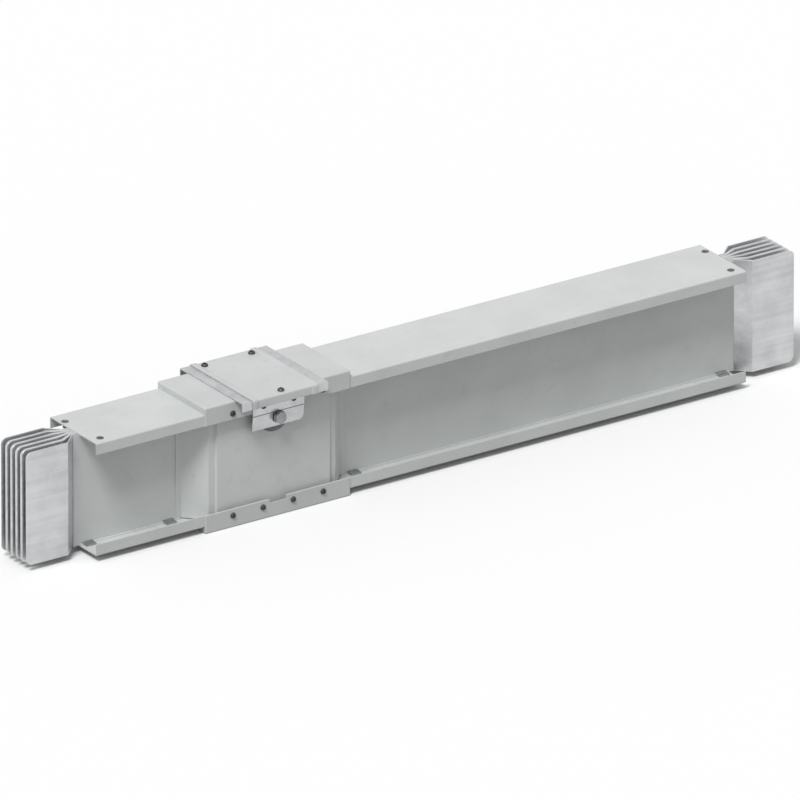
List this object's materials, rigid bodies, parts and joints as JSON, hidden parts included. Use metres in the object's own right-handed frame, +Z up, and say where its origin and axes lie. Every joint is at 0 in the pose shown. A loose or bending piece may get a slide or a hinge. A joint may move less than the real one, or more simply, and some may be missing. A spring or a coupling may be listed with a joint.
{
  "type": "busway section",
  "caption": "Length of sandwich busbar trunking: folded covers round flat bars, a bolted joint under a lidded cap, and flared bar tabs at both ends for the next joints.",
  "frame": {"origin": "under the middle of the whole length, on the underside of the joint's bottom cap", "axes": "+X along the bars from the short length to the long one, +Y to the rear, +Z up"},
  "size_m": [1.56, 0.192, 0.2355],
  "materials": {
    "housing_paint": "satin powder coat",
    "side_paint": "satin powder coat",
    "cap_paint": "satin powder coat",
    "lid_zinc": "bright zinc plate",
    "bar_metal": "tinned, fine rolled grain",
    "earth_metal": "mill finish",
    "film": "smooth polyester film",
    "insulator": "moulded polyester",
    "fastener_zinc": "zinc plate",
    "insert_zinc": "dark zinc plate",
    "screw_dark": "black phosphate",
    "washer_steel": "phosphated spring steel",
    "contact_metal": "tinned",
    "pressure_metal": "as cast, zinc plated"
  },
  "bodies": {
    "root": {"short_top_cover": "housing_paint", "short_bottom_cover": "housing_paint", "short_front_side_sheet": "side_paint", "short_front_inner_bar": "bar_metal", "short_front_outer_bar": "bar_metal", "short_front_earth_plate": "earth_metal", "short_rear_side_sheet": "side_paint", "short_rear_inner_bar": "bar_metal", "short_rear_outer_bar": "bar_metal", "short_rear_earth_plate": "earth_metal", "short_insulation_films": "film", "short_inserts": "insert_zinc", "short_foot_clamps": "fastener_zinc", "long_top_cover": "housing_paint", "long_bottom_cover": "housing_paint", "long_front_side_sheet": "side_paint", "long_front_inner_bar": "bar_metal", "long_front_outer_bar": "bar_metal", "long_front_earth_plate": "earth_metal", "long_rear_side_sheet": "side_paint", "long_rear_inner_bar": "bar_metal", "long_rear_outer_bar": "bar_metal", "long_rear_earth_plate": "earth_metal", "long_insulation_films": "film", "long_inserts": "insert_zinc", "long_foot_clamps": "fastener_zinc", "top_cap": "cap_paint", "bottom_cap": "cap_paint", "left_strap": "lid_zinc", "right_strap": "lid_zinc", "lid": "cap_paint", "lock_plate": "lid_zinc", "rear_bracket": "lid_zinc", "front_side_cover": "side_paint", "rear_side_cover": "side_paint", "flange_screws": "screw_dark", "lid_screws": "screw_dark", "joint_bolt": "fastener_zinc", "joint_nut": "fastener_zinc", "flat_washers": "fastener_zinc", "spring_washers": "washer_steel", "bolt_sleeve": "insulator", "contact_plates": "contact_metal", "insulators": "insulator", "front_pressure_plate": "pressure_metal", "rear_pressure_plate": "pressure_metal"}
  },
  "joints": []
}
